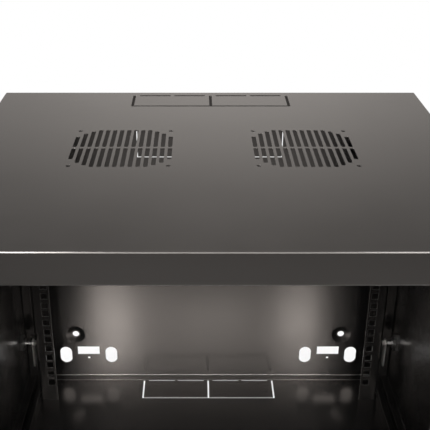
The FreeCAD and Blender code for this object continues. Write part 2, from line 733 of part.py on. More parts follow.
def runner(label, side, up):
    """A depth rail: a channel along the floor or under the top that carries the upright rails."""
    body = new_body(label)
    wall_z = signed(up, INSIDE_Z)
    free_z = signed(up, INSIDE_Z + " - sizes.runner_height")
    wall_face_z = signed(up, INSIDE_Z + " - sizes.frame_sheet")
    free_face_z = signed(up, INSIDE_Z + " - sizes.runner_height + sizes.frame_sheet")

    def section(sketch):
        web = signed(side, RAIL_X)
        web_face = signed(side, RAIL_X + " + sizes.frame_sheet")
        toe = signed(side, RAIL_X + " + sizes.runner_width")
        draw_loop(sketch, [(web, free_z), (toe, free_z), (toe, free_face_z), (web_face, free_face_z),
                           (web_face, wall_face_z), (toe, wall_face_z), (toe, wall_z), (web, wall_z)])

    def bolt_slots(sketch):
        front_end = FRONT_RAIL_Y + " + (sizes.rail_return - sizes.runner_slot) / 2"
        rear_end = REAR_RAIL_Y + " + (sizes.rail_return + sizes.runner_slot) / 2"
        corner = "sizes.runner_slot * %.5f" % OCTAGON_CORNER
        spans = ((front_end, front_end + " + sizes.runner_slot_reach"),
                 (rear_end + " - sizes.runner_slot_reach", rear_end))
        for low, high in spans:
            draw_cut_slot(sketch, signed(up, RUNNER_MIDDLE_Z), low, high, "sizes.runner_slot", corner, True)

    pad_between(body, "channel", "XZ_Plane", POST_FRONT_Y + " + sizes.frame_sheet", REAR_POST_Y, section)
    low, high = ordered(side, RAIL_X, RAIL_X + " + sizes.frame_sheet")
    pocket_between(body, "bolt_slots", "YZ_Plane", low, high, bolt_slots)
    in_shell(body)


def upright_rail(label, side, front_y):
    """An equipment rail: an angle with three square holes to each height unit."""
    body = new_body(label)

    def section(sketch):
        edge = signed(side, "sizes.rail_opening / 2")
        corner = signed(side, RAIL_X)
        leg_face = signed(side, RAIL_X + " - sizes.rail_sheet")
        flange_face = front_y + " + sizes.rail_sheet"
        rear = front_y + " + sizes.rail_return"
        draw_loop(sketch, [(edge, front_y), (corner, front_y), (corner, rear), (leg_face, rear),
                           (leg_face, flange_face), (edge, flange_face)])

    def unit_holes(sketch):
        column = signed(side, "sizes.rail_opening / 2 + sizes.hole_from_edge")
        half = "sizes.square_hole / 2"
        for index in range(3):
            height = "%s + sizes.first_hole + %d * sizes.hole_pitch" % (UNIT_BASE_Z, index)
            draw_rectangle(sketch, "%s - %s" % (column, half), "%s + %s" % (column, half),
                           "%s - %s" % (height, half), "%s + %s" % (height, half))

    def bolt_holes(sketch):
        for up in (-1, 1):
            draw_octagon(sketch, front_y + " + sizes.rail_return / 2", signed(up, RUNNER_MIDDLE_Z),
                         "sizes.bolt_width + sizes.bolt_play")

    pad_between(body, "angle", "XY_Plane", "-" + INSIDE_Z, INSIDE_Z, section)
    round_edges(body, "fold", "sizes.rail_sheet", [(signed(side, RAIL_X), front_y, "0")])
    low, high = ordered(side, RAIL_X + " - sizes.rail_sheet", RAIL_X)
    pocket_between(body, "bolt_holes", "YZ_Plane", low, high, bolt_holes)
    holes = pocket_between(body, "unit_holes", "XZ_Plane", front_y, front_y + " + sizes.rail_sheet", unit_holes)
    units = int(number("sizes.unit_count"))
    settings = {"Direction": (origin_plane(body, "Z_Axis"), [""]), "Occurrences": units,
                "Length": "%d * sizes.unit_pitch" % (units - 1)}
    repeat(body, "all_units", [holes], [("LinearPattern", settings)])
    in_shell(body)


def rail_fasteners():
    """A bolt and a nut at each end of each upright rail."""
    bolts = []
    nuts = []
    for side, way in ((-1, "-X"), (1, "+X")):
        for rail_y in (FRONT_RAIL_Y, REAR_RAIL_Y):
            for up in (-1, 1):
                middle = ("%s + sizes.rail_return / 2" % rail_y, signed(up, RUNNER_MIDDLE_Z))
                under_head = (signed(side, RAIL_X + " - sizes.rail_sheet"),) + middle
                behind_web = (signed(side, RAIL_X + " + sizes.frame_sheet"),) + middle
                length = "sizes.rail_sheet + sizes.frame_sheet + sizes.nut_height + sizes.bolt_end"
                bolts.append(screw("rail_bolt", "sizes.bolt_width", "sizes.bolt_head", "sizes.bolt_head_height",
                                   length, way, under_head))
                nuts.append(ring_nut("rail_nut", "sizes.nut_flats", "sizes.bolt_width + 2 * sizes.seat_play",
                                     "sizes.nut_height", way, behind_web))
    in_shell(group("rail_bolts", bolts))
    in_shell(group("rail_nuts", nuts))


# ---------------------------------------------------------------- removable sides


def side_panel(label, side):
    """A side: a plate between the posts' outer legs, with tongues behind the front post."""
    body = new_body(label)
    front_edge = "(%s + sizes.tongue_gap)" % POST_REAR_Y

    def plate(sketch):
        draw_rectangle(sketch, front_edge, "-sizes.side_play", "-" + SIDE_END_Z, SIDE_END_Z)

    def returns(sketch):
        draw_rectangle(sketch, front_edge + " + sizes.sheet", REAR_POST_Y + " - sizes.tongue_gap",
                       SIDE_END_Z + " - sizes.sheet", SIDE_END_Z)

    def tongue(sketch):
        plate_x = signed(side, INSIDE_X)
        slack_x = signed(side, INSIDE_X + " - sizes.frame_sheet - sizes.tongue_slack")
        hidden_x = signed(side, INSIDE_X + " - sizes.frame_sheet - sizes.tongue_slack - sizes.sheet")
        step_y = front_edge + " + sizes.sheet"
        tip_y = front_edge + " - sizes.tongue_length"
        draw_loop(sketch, [(plate_x, front_edge), (slack_x, front_edge), (slack_x, tip_y), (hidden_x, tip_y),
                           (hidden_x, step_y), (plate_x, step_y)])

    def latch_holes(sketch):
        for up in (-1, 1):
            draw_circle(sketch, LATCH_Y, signed(up, LATCH_Z), "sizes.latch_barrel / 2 + sizes.seat_play")

    low, high = ordered(side, INSIDE_X, HALF_WIDTH)
    pad_between(body, "plate", "YZ_Plane", low, high, plate)
    low, high = ordered(side, INSIDE_X + " - sizes.side_return", INSIDE_X)
    edge_return = pad_between(body, "edge_return", "YZ_Plane", low, high, returns)
    repeat(body, "edge_returns", [edge_return], [mirror_across(body, "XY_Plane")])
    start = "-sizes.tongue_pitch - sizes.tongue_height / 2"
    hook = pad_between(body, "tongue", "XY_Plane", start, start + " + sizes.tongue_height", tongue)
    settings = {"Direction": (origin_plane(body, "Z_Axis"), [""]), "Occurrences": 3,
                "Length": "2 * sizes.tongue_pitch"}
    repeat(body, "tongues", [hook], [("LinearPattern", settings)])
    low, high = ordered(side, INSIDE_X, HALF_WIDTH)
    pocket_between(body, "latch_holes", "YZ_Plane", low, high, latch_holes)
    in_shell(body)


def latch_fittings(name, side, way):
    """The barrels and ring nuts of one side's two latches."""
    barrels = []
    nuts = []
    back = {"+X": "-X", "-X": "+X"}[way]
    for up in (-1, 1):
        place = (signed(side, HALF_WIDTH), LATCH_Y, signed(up, LATCH_Z))
        seat = (signed(side, INSIDE_X),) + place[1:]
        end = (signed(side, HALF_WIDTH + " - sizes.latch_barrel_length"),) + place[1:]
        collar = rod("latch_collar", "sizes.latch_collar", "sizes.latch_collar_height", way, place)
        tube = rod("latch_tube", "sizes.latch_barrel", "sizes.latch_barrel_length", back, place)
        bore = threaded_bore("latch_bore", "sizes.plug_width + 2 * sizes.turning_play",
                             "sizes.latch_barrel_length + sizes.latch_collar_height", way, end)
        barrels.append(less("latch_barrel_piece", joined("latch_barrel_blank", [collar, tube]), bore))
        nuts.append(ring_nut("latch_nut", "sizes.latch_nut_flats", "sizes.latch_barrel + 2 * sizes.seat_play",
                             "sizes.latch_nut_height", back, seat))
    in_shell(group("latch_barrels_" + name, barrels))
    in_shell(group("latch_nuts_" + name, nuts))


def latch(name, side, way, up):
    """One quarter-turn latch: the plug with its coin slot, the cam and the cam's screw."""
    height = signed(up, LATCH_Z)
    cam_seat = (signed(side, CAM_FACE_X), LATCH_Y, height)
    outer_x = HALF_WIDTH + " + sizes.latch_collar_height + sizes.plug_proud"
    plug_length = "%s - %s" % (outer_x, CAM_FACE_X)
    solid = rod("latch_plug_blank", "sizes.plug_width", plug_length, way, cam_seat)
    slot_low, slot_high = ordered(side, outer_x + " - sizes.coin_slot_depth", outer_x)
    slot_size = ("(%s) - (%s)" % (slot_high, slot_low), "sizes.coin_slot_width", "sizes.plug_width")
    slot = block("coin_slot", slot_size,
                 (slot_low, LATCH_Y + " - sizes.coin_slot_width / 2", height + " - sizes.plug_width / 2"))
    bore = threaded_bore("latch_thread", "sizes.cam_screw + 2 * sizes.seat_play", "sizes.cam_screw_length",
                         way, cam_seat)
    in_shell(labelled(less("plug", less("slotted_plug", solid, slot), bore), "latch_plug_" + name))
    cam_inner = signed(side, CAM_FACE_X + " - sizes.cam_thick")

    body = new_body("latch_cam_" + name)

    def outline(sketch):
        draw_cut_slot(sketch, LATCH_Y, "%s - sizes.latch_cam_reach" % height,
                      "%s + sizes.cam_width / 2" % height, "sizes.cam_width", "sizes.cam_corner")

    def eye(sketch):
        draw_octagon(sketch, LATCH_Y, height, "sizes.cam_screw + 2 * sizes.seat_play")

    low, high = ordered(side, CAM_FACE_X + " - sizes.cam_thick", CAM_FACE_X)
    pad_between(body, "blade", "YZ_Plane", low, high, outline)
    pocket_between(body, "eye", "YZ_Plane", low, high, eye)
    in_shell(body)
    under_head = (cam_inner, LATCH_Y, height)
    fastener = screw("cam_screw", "sizes.cam_screw", "sizes.cam_screw_head", "sizes.cam_screw_head_height",
                     "sizes.cam_thick + sizes.cam_screw_length - sizes.cam_screw_room", way, under_head)
    in_shell(labelled(fastener, "latch_screw_" + name))


# ---------------------------------------------------------------- glass door


def door_frame():
    """The door: a pressed pan with a window, hinge holes and the lock's hole."""
    body = new_body("door_frame")

    def outline(sketch):
        draw_rectangle(sketch, DOOR_NEAR_X, DOOR_FAR_X, "-" + DOOR_END_Z, DOOR_END_Z)

    def hollow(sketch):
        draw_rectangle(sketch, DOOR_NEAR_X + " + sizes.door_sheet", DOOR_FAR_X + " - sizes.door_sheet",
                       "-%s + sizes.door_sheet" % DOOR_END_Z, DOOR_END_Z + " - sizes.door_sheet")

    def window(sketch):
        draw_rectangle(sketch, "%s - %s" % (DOOR_MIDDLE_X, WINDOW_HALF_X),
                       "%s + %s" % (DOOR_MIDDLE_X, WINDOW_HALF_X), "-" + WINDOW_HALF_Z, WINDOW_HALF_Z)

    def lock_hole(sketch):
        draw_circle(sketch, LOCK_X, "0", "sizes.lock_barrel / 2 + sizes.seat_play")

    def pin_hole(sketch):
        draw_circle(sketch, "0", "0", "sizes.pin_width / 2 + sizes.seat_play")

    pad_between(body, "pan", "XZ_Plane", DOOR_FACE_Y, DOOR_REAR_Y, outline)
    edges = [(DOOR_NEAR_X, DOOR_FACE_Y, "0"), (DOOR_FAR_X, DOOR_FACE_Y, "0"),
             (DOOR_MIDDLE_X, DOOR_FACE_Y, DOOR_END_Z), (DOOR_MIDDLE_X, DOOR_FACE_Y, "-" + DOOR_END_Z)]
    round_edges(body, "folds", "sizes.door_fold_radius", edges)
    pocket_between(body, "hollow", "XZ_Plane", DOOR_SKIN_Y, DOOR_REAR_Y, hollow)
    pocket_between(body, "window", "XZ_Plane", DOOR_FACE_Y, DOOR_SKIN_Y, window)
    pocket_between(body, "lock_hole", "XZ_Plane", DOOR_FACE_Y, DOOR_SKIN_Y, lock_hole)
    skin_z = DOOR_END_Z + " - sizes.door_sheet"
    hole = pocket_between(body, "pin_hole", "XY_Plane", skin_z, DOOR_END_Z, pin_hole)
    repeat(body, "pin_holes", [hole], [mirror_across(body, "XY_Plane")])
    on_door(body)


def glazing():
    """The glass, the seal between it and the pan, and the spring clips that hold it."""
    glass_half_x = "%s + sizes.glass_lap" % WINDOW_HALF_X
    glass_half_z = "%s + sizes.glass_lap" % WINDOW_HALF_Z

    def pane(sketch):
        draw_rectangle(sketch, "%s - (%s)" % (DOOR_MIDDLE_X, glass_half_x),
                       "%s + (%s)" % (DOOR_MIDDLE_X, glass_half_x), "-(%s)" % glass_half_z, glass_half_z)

    def window(sketch):
        draw_rectangle(sketch, "%s - %s" % (DOOR_MIDDLE_X, WINDOW_HALF_X),
                       "%s + %s" % (DOOR_MIDDLE_X, WINDOW_HALF_X), "-" + WINDOW_HALF_Z, WINDOW_HALF_Z)

    glass = new_body("door_glass")
    glass_rear = GLASS_Y + " + sizes.glass_thick"
    pad_between(glass, "pane", "XZ_Plane", GLASS_Y, glass_rear, pane)
    middle_y = GLASS_Y + " + sizes.glass_thick / 2"
    corners = [("%s %s (%s)" % (DOOR_MIDDLE_X, sign, glass_half_x), middle_y, "%s(%s)" % (up, glass_half_z))
               for sign in "+-" for up in ("", "-")]
    round_edges(glass, "corners", "sizes.glass_radius", corners)
    on_door(glass)

    seal = new_body("glass_seal")
    pad_between(seal, "strip", "XZ_Plane", DOOR_SKIN_Y, GLASS_Y, pane)
    pocket_between(seal, "opening", "XZ_Plane", DOOR_SKIN_Y, GLASS_Y, window)
    on_door(seal)

    clips = []
    lift = "sizes.seal_thick + sizes.glass_thick"
    side_places = [(side, up) for side in (-1, 1) for up in (-1, 1)]
    for side, up in side_places:
        edge = "%s + %s" % (DOOR_MIDDLE_X, signed(side, glass_half_x + " + sizes.seal_thick"))
        low_z = signed(up, "sizes.clip_up") + " - sizes.clip_width / 2"
        clips.append(glass_clip_upright(side, edge, low_z, lift))
    for side, up in side_places:
        edge = signed(up, glass_half_z + " + sizes.seal_thick")
        low_x = "%s + %s - sizes.clip_width / 2" % (DOOR_MIDDLE_X, signed(side, "sizes.clip_across"))
        clips.append(glass_clip_level(up, edge, low_x, lift))
    on_door(group("glass_clips", clips))


def clip_spans(side, edge):
    """The foot, riser and finger of a clip, across the glass edge, as lowest place and length."""
    outward = [("0", "sizes.clip_foot"), ("0", "sizes.clip_sheet"),
               ("-sizes.clip_lap - sizes.seal_thick", "sizes.clip_lap + sizes.seal_thick + sizes.clip_sheet")]
    if side > 0:
        return [("%s + %s" % (edge, start), length) for start, length in outward]
    return [("%s - (%s) - (%s)" % (edge, start, length), length) for start, length in outward]


def clip_depths(lift):
    """The same three parts through the door's depth."""
    return [(DOOR_SKIN_Y, "sizes.clip_sheet"), (DOOR_SKIN_Y, "%s + sizes.clip_sheet" % lift),
            ("%s + %s" % (DOOR_SKIN_Y, lift), "sizes.clip_sheet")]


def glass_clip_upright(side, edge, low_z, lift):
    parts = [block("clip_part", (across[1], deep[1], "sizes.clip_width"), (across[0], deep[0], low_z))
             for across, deep in zip(clip_spans(side, edge), clip_depths(lift))]
    return joined("glass_clip", parts)


def glass_clip_level(up, edge, low_x, lift):
    parts = [block("clip_part", ("sizes.clip_width", deep[1], rise[1]), (low_x, deep[0], rise[0]))
             for rise, deep in zip(clip_spans(up, edge), clip_depths(lift))]
    return joined("glass_clip", parts)


def hinge():
    """Collared pins in the door's ends, and flanged bushes in the lips of the bars."""
    pins = []
    bushes = []
    lip_face = HALF_HEIGHT + " - sizes.bar_height"
    collar_height = "sizes.door_end_play - sizes.bush_gap"
    for up, way in ((1, "+Z"), (-1, "-Z")):
        skin = signed(up, DOOR_END_Z + " - sizes.door_sheet - sizes.pin_collar_height")
        collar = thread("pin_collar", "sizes.pin_collar", "sizes.pin_collar_height", way, ("0", "0", skin))
        length = ("sizes.pin_collar_height + sizes.door_sheet + sizes.door_end_play + 2 * sizes.sheet"
                  " + sizes.pin_end")
        shank = rod("pin_shank", "sizes.pin_width", length, way, ("0", "0", skin))
        pins.append(joined("hinge_pin", [shank, collar]))
        base = (HINGE_X, HINGE_Y, signed(up, lip_face + " - (%s)" % collar_height))
        flange = rod("bush_flange", "sizes.bush_collar", collar_height, way, base)
        whole = "%s + sizes.sheet" % collar_height
        sleeve = thread("bush_sleeve", "sizes.bush_width - 2 * sizes.seat_play", whole, way, base)
        bore = threaded_bore("bush_bore", "sizes.pin_width + 2 * sizes.turning_play", whole, way, base)
        bushes.append(less("hinge_bush", joined("bush_blank", [flange, sleeve]), bore))
    on_door(group("hinge_pins", pins))
    in_shell(group("hinge_bushes", bushes))


def door_lock():
    """The cam lock: barrel, ring nut, keyed plug, cam and screw."""
    place = (LOCK_X, DOOR_FACE_Y, "0")
    barrel_end = LOCK_CAM_Y + " - sizes.lock_cam_gap"
    collar = rod("lock_collar", "sizes.lock_collar", "sizes.lock_collar_height", "-Y", place)
    tube = rod("lock_tube", "sizes.lock_barrel", "%s - %s" % (barrel_end, DOOR_FACE_Y), "+Y", place)
    front_y = DOOR_FACE_Y + " - sizes.lock_collar_height"
    bore = threaded_bore("lock_bore", "sizes.plug_width + 2 * sizes.turning_play",
                         "%s - (%s)" % (barrel_end, front_y), "+Y", (LOCK_X, front_y, "0"))
    on_door(labelled(less("lock_body", joined("lock_blank", [collar, tube]), bore), "lock_barrel"))
    on_door(labelled(ring_nut("ring", "sizes.lock_nut_flats", "sizes.lock_barrel + 2 * sizes.seat_play",
                              "sizes.lock_nut_height", "+Y", (LOCK_X, DOOR_SKIN_Y, "0")), "lock_nut"))
    plug_front = front_y + " - sizes.plug_proud"
    solid = rod("lock_plug_blank", "sizes.plug_width", "%s - (%s)" % (LOCK_CAM_Y, plug_front), "+Y",
                (LOCK_X, plug_front, "0"))
    slot = block("key_slot", ("sizes.coin_slot_width", "sizes.coin_slot_depth", "sizes.key_slot_length"),
                 (LOCK_X + " - sizes.coin_slot_width / 2", plug_front, "-sizes.key_slot_length / 2"))
    seat = (LOCK_X, LOCK_CAM_Y, "0")
    screw_bore = threaded_bore("lock_thread", "sizes.cam_screw + 2 * sizes.seat_play", "sizes.cam_screw_length",
                               "-Y", seat)
    on_door(labelled(less("keyed", less("keyed_plug", solid, slot), screw_bore), "lock_plug"))

    body = new_body("lock_cam")
    cam_rear = LOCK_CAM_Y + " + sizes.cam_thick"

    def outline(sketch):
        draw_cut_slot(sketch, LOCK_X, "-sizes.cam_width / 2", "sizes.lock_cam_reach", "sizes.cam_width",
                      "sizes.cam_corner")

    def eye(sketch):
        draw_octagon(sketch, LOCK_X, "0", "sizes.cam_screw + 2 * sizes.seat_play")

    pad_between(body, "blade", "XZ_Plane", LOCK_CAM_Y, cam_rear, outline)
    pocket_between(body, "eye", "XZ_Plane", LOCK_CAM_Y, cam_rear, eye)
    on_door(body)
    under_head = (LOCK_X, cam_rear, "0")
    fastener = screw("lock_cam_screw", "sizes.cam_screw", "sizes.cam_screw_head", "sizes.cam_screw_head_height",
                     "sizes.cam_thick + sizes.cam_screw_length - sizes.cam_screw_room", "-Y", under_head)
    on_door(labelled(fastener, "lock_screw"))


# ---------------------------------------------------------------- the cabinet


def build():
    cover("top_panel", 1)
    cover("base_panel", -1)
    back_panel()
    for name, side, way in (("left", -1, "-X"), ("right", 1, "+X")):
        front_post("front_post_" + name, side)
        rear_post("rear_post_" + name, side)
        for height_name, up in (("lower", -1), ("upper", 1)):
            runner("%s_depth_rail_%s" % (height_name, name), side, up)
        upright_rail("front_rail_" + name, side, FRONT_RAIL_Y)
        upright_rail("rear_rail_" + name, side, REAR_RAIL_Y)
        side_panel("side_panel_" + name, side)
        latch_fittings(name, side, way)
        for height_name, up in (("lower", -1), ("upper", 1)):
            latch("%s_%s" % (name, height_name), side, way, up)
    rail_fasteners()
    door_frame()
    glazing()
    hinge()
    door_lock()


def check():
    """Stop if any object failed to compute or any piece isn't sound."""
    DOC.recompute()
    for item in DOC.Objects:
        if "Invalid" in item.State or "Error" in item.State:
            raise RuntimeError("%s is %s" % (item.Label, item.State))
    for piece in PIECES:
        if piece.Shape.isNull() or not piece.Shape.isValid() or not piece.Shape.Solids:
            raise RuntimeError("%s has no sound shape" % piece.Label)


build()
check()
os.makedirs("parts", exist_ok=True)
for piece in PIECES:
    piece.Shape.exportStep("parts/%s.step" % piece.Label)
    box = piece.Shape.BoundBox
    print("%-24s %d solids, x %.1f..%.1f, y %.1f..%.1f, z %.1f..%.1f" % (
        piece.Label, len(piece.Shape.Solids), box.XMin, box.XMax, box.YMin, box.YMax, box.ZMin, box.ZMax))
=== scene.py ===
# %% [markdown]
# # A wall mount network cabinet in a white studio
#
# The solids of the cabinet come ready made: folded sheets, posts, equipment rails on depth
# rails, two removable sides with their latches, and a glazed door. What they lack is a
# surface. This lesson gives every solid a finish made from nodes, and builds a studio round
# the cabinet.
#
# Black satin paint is a good teacher, because it shows almost no colour of its own. Nearly
# everything that the eye reads on it is a reflection, so the backdrop, the floor and the lamps
# are as much a part of the finish as the paint is.
#
# All lengths are in metres. +X is to the right seen from the front, +Y points at the wall that
# the cabinet hangs on, and +Z is up.

# %% Bring in the solids
import math

import bpy
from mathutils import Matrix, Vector


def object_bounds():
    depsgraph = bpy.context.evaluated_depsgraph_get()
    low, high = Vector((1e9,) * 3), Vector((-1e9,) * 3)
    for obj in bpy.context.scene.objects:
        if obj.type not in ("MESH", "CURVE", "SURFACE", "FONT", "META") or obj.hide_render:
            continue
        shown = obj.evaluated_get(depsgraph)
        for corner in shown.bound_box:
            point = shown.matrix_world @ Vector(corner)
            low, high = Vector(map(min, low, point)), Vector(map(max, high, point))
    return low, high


def rounded(corner):
    """A place as plain numbers, to the millimetre."""
    return tuple(round(value, 3) for value in corner)


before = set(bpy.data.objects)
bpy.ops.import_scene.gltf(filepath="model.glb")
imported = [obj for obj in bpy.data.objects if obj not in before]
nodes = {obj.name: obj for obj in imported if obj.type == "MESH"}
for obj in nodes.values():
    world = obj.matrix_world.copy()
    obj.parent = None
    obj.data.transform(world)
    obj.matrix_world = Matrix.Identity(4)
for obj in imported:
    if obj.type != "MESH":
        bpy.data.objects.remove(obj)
cad_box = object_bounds()
print("solids:", len(nodes), "nodes, box", [rounded(corner) for corner in cad_box])

# %% [markdown]
# ## The camera
#
# The cabinet is seen from the front and a little above, close enough to look over the top
# sheet and down into the open front at the same time. A camera can be turned to centre its
# subject, but then upright edges lean. Here only the tilt is used, and the small sideways
# step is a lens shift, which slides the picture without turning anything. A lens of about
# 69 mm on a 36 mm sensor is a short portrait lens: it keeps the perspective calm.

# %% Camera
LENS = 68.8
SENSOR = 36.0
LENS_SHIFT = 0.0427
CAMERA_PLACE = Vector((-0.0178, -1.0481, 0.5615))
CAMERA_TILT = math.radians(63.95)

camera_data = bpy.data.cameras.new("studio_camera")
camera_data.lens = LENS
camera_data.sensor_width = SENSOR
camera_data.shift_x = LENS_SHIFT
camera = bpy.data.objects.new("studio_camera", camera_data)
camera.location = CAMERA_PLACE
camera.rotation_euler = (CAMERA_TILT, 0.0, 0.0)
bpy.context.scene.collection.objects.link(camera)
bpy.context.scene.camera = camera
print("camera at", rounded(CAMERA_PLACE), "with a lens of", LENS, "mm")

# %% [markdown]
# ## Node trees written as sums
#
# A node tree drawn by hand is easy to read on the screen and hard to read in a script. It
# reads better as arithmetic. `Wire` holds one output of a node, and adding or multiplying two
# wires adds the Math node that does it. The reflected forms make `1.0 - mask` work as well.
# Math nodes only know single numbers: a colour sent through one comes out grey, so colours
# are mixed by `Tree.mix` further down.


# %% One output of a node
class Wire:
    """One output socket of a node, with arithmetic."""

    def __init__(self, tree, socket):
        self.tree = tree
        self.socket = socket

    def math(self, operation, *others):
        """Add a Math node whose first input is this wire."""
        return self.tree.node("ShaderNodeMath", {"operation": operation}, (self,) + others).out()

    def __add__(self, other):
        return self.math("ADD", other)

    def __sub__(self, other):
        return self.math("SUBTRACT", other)

    def __mul__(self, other):
        return self.math("MULTIPLY", other)

    def __rsub__(self, other):
        return self.tree.node("ShaderNodeMath", {"operation": "SUBTRACT"}, (other, self)).out()

    __radd__ = __add__
    __rmul__ = __mul__

    def either(self, other):
        """The larger of two masks."""
        return self.math("MAXIMUM", other)

    def smooth(self, low, high):
        """0 below low, 1 above high, and a smooth step between them."""
        inputs = {"Value": self, "From Min": low, "From Max": high}
        return self.tree.node("ShaderNodeMapRange", {"interpolation_type": "SMOOTHSTEP"}, inputs).out()

    def swing(self, amount):
        """Turn noise, which lies round 0.5, into a change that lies round 0."""
        return (self - 0.5) * amount


print("operators of a wire: +, -, * and their reflected forms")

# %% [markdown]
# Every other node comes from one method, `Tree.node`. It takes the node's type, then its
# settings, such as the operation of a Math node, and then what goes into its sockets: a wire
# is linked, and anything else becomes the socket's own value. Settings come first because
# some of them change which sockets a node has. The short methods below it only save typing
# for the nodes that come back again and again.


# %% A whole tree
class Node:
    """A node that has been added to a tree."""

    def __init__(self, tree, node):
        self.tree = tree
        self.node = node

    def out(self, name=0):
        return Wire(self.tree, self.node.outputs[name])


class Tree:
    """The node tree of a material or of the world."""

    def __init__(self, owner):
        owner.use_nodes = True
        self.links = owner.node_tree.links
        self.nodes = owner.node_tree.nodes
        self.nodes.clear()

    def node(self, kind, settings=None, inputs=None):
        """Add a node, then set it up, then feed its sockets."""
        added = self.nodes.new(kind)
        for key, value in (settings or {}).items():
            setattr(added, key, value)
        pairs = inputs.items() if isinstance(inputs, dict) else enumerate(inputs or ())
        for key, value in pairs:
            if isinstance(value, Wire):
                self.links.new(value.socket, added.inputs[key])
            else:
                added.inputs[key].default_value = value
        return Node(self, added)

    def coordinates(self, name):
        """One of the node's outputs, such as Object: places in the piece's own axes."""
        return self.node("ShaderNodeTexCoord").out(name)

    def parts(self, vector):
        """The X, Y and Z of a vector as three outputs of one node."""
        return self.node("ShaderNodeSeparateXYZ", {}, (vector,))

    def vector(self, operation, *inputs):
        """Add a Vector Math node."""
        return self.node("ShaderNodeVectorMath", {"operation": operation}, inputs)

    def mix(self, amount, first, second):
        """Mix two colours."""
        mixer = self.node("ShaderNodeMix", {"data_type": "RGBA"}, {0: amount, 6: first, 7: second})
        return mixer.out(2)

    def noise(self, place, scale, detail=2.0, roughness=0.5):
        """Soft noise round 0.5, finer where the scale is larger."""
        inputs = {"Vector": place, "Scale": scale, "Detail": detail, "Roughness": roughness}
        return self.node("ShaderNodeTexNoise", {}, inputs).out("Fac")

    def surface(self, shader, output="ShaderNodeOutputMaterial"):
        """Send a shader to the tree's output."""
        self.node(output, {}, {"Surface": shader.out()})

    def principled(self, inputs):
        """Give the whole surface one Principled shader."""
        self.surface(self.node("ShaderNodeBsdfPrincipled", {}, inputs))


print("helpers: Node and Tree")

# %% [markdown]
# Colours are red, green and blue from 0 to 1, and a fourth number for how solid they are. Most
# finishes of a black cabinet are greys. Under studio lamps such greys lean a little to yellow,
# so one helper makes a true grey and the other a warm one.


# %% Colours
def rgb(red, green, blue):
    return (red, green, blue, 1.0)


def grey(value):
    return rgb(value, value, value)


def warm(value):
    """A grey that leans a little to yellow."""
    return rgb(value, value * 0.97, value * 0.94)


WHITE = grey(1.0)
WARM_WHITE = rgb(1.0, 0.945, 0.90)
print("white", WHITE, "and warm white", WARM_WHITE)

# %% [markdown]
# ## The backdrop
#
# Behind the cabinet hangs a wide sheet of white paper, brightest behind the middle and dimmer
# towards its edges. Above its top edge is a darker gap, and above that a white ceiling. The
# top sheet mirrors the paper at the back and the gap in front, which is why it fades from
# middle grey at the back to dark grey in front.
#
# A real sheet of paper would work too, but the world shader can do the same with no mesh: the
# direction of a ray says which part of the room it meets. A direction has a length of 1, so
# its Z is 0 at the horizon and 1 straight up, and its X tells how far it points aside. Each
# pair of numbers below is where a soft edge starts and where it ends.

# %% Paper, gap and ceiling
PAPER_MIDDLE = 0.03
PAPER_FADE = (0.03, 0.34)
PAPER_BRIGHTNESS = 1.2
PAPER_EDGE_LOSS = 0.42
GAP_START = (0.30, 0.48)
GAP_END = (0.54, 0.64)
GAP_LOSS = 0.78

world = bpy.data.worlds.new("studio")
bpy.context.scene.world = world
sky = Tree(world)
heading = sky.parts(sky.coordinates("Generated"))
height = heading.out("Z")
aside = (heading.out("X") - PAPER_MIDDLE).math("ABSOLUTE").smooth(*PAPER_FADE)
gap = height.smooth(*GAP_START) * (1.0 - height.smooth(*GAP_END))
backdrop = (1.0 - aside * PAPER_EDGE_LOSS) * (1.0 - gap * GAP_LOSS) * PAPER_BRIGHTNESS
print("backdrop: brightness", PAPER_BRIGHTNESS, "less", GAP_LOSS, "of it in the gap")

# %% [markdown]
# Seen straight on, the graded backdrop would be grey behind the cabinet instead of white. So
# the world answers each kind of ray in its own way, and Light Path tells which kind is asking.
# The camera gets plain white. Rays off a glossy surface or through glass get the paper, the
# gap and the ceiling. All others only carry soft room light.

# %% Who sees which backdrop
ROOM_LIGHT = 0.35

path = sky.node("ShaderNodeLightPath")
is_camera = path.out("Is Camera Ray")
mirrored = path.out("Is Glossy Ray").either(path.out("Is Transmission Ray"))
unseen = 1.0 - is_camera.either(mirrored)
strength = is_camera + (1.0 - is_camera) * mirrored * backdrop + unseen * ROOM_LIGHT
tone = sky.mix(is_camera, WARM_WHITE, WHITE)
air = sky.node("ShaderNodeBackground", {}, {"Color": tone, "Strength": strength})
sky.surface(air, "ShaderNodeOutputWorld")
print("world: white to the camera, graded in reflections, room light", ROOM_LIGHT)

# %% [markdown]
# ## The floor
#
# The cabinet stands on a pale paper floor. A strong lamp could make the floor white, but the
# floor would throw that light up at the cabinet. So it gives off a strength of 1 instead, and
# only to rays from the camera or through glass. Close to the cabinet a part of the plain paper
# is left in, and that part carries the shadow. In front the paper turns into a darker grey, a
# painted shade, so the upright front edge of the top, which mirrors that stretch, stays dark.

# %% Paper and table
PAPER_DARK = grey(0.70)
PAPER_PALE = grey(0.76)
PAPER_MOTTLE_SCALE = 3.0
PAPER_START = (-0.95, -0.45)
SHADED_FRONT_GREY = grey(0.50)
SHADOW_SHARE = 0.15
SHADOW_REACH = (0.5, 1.6)


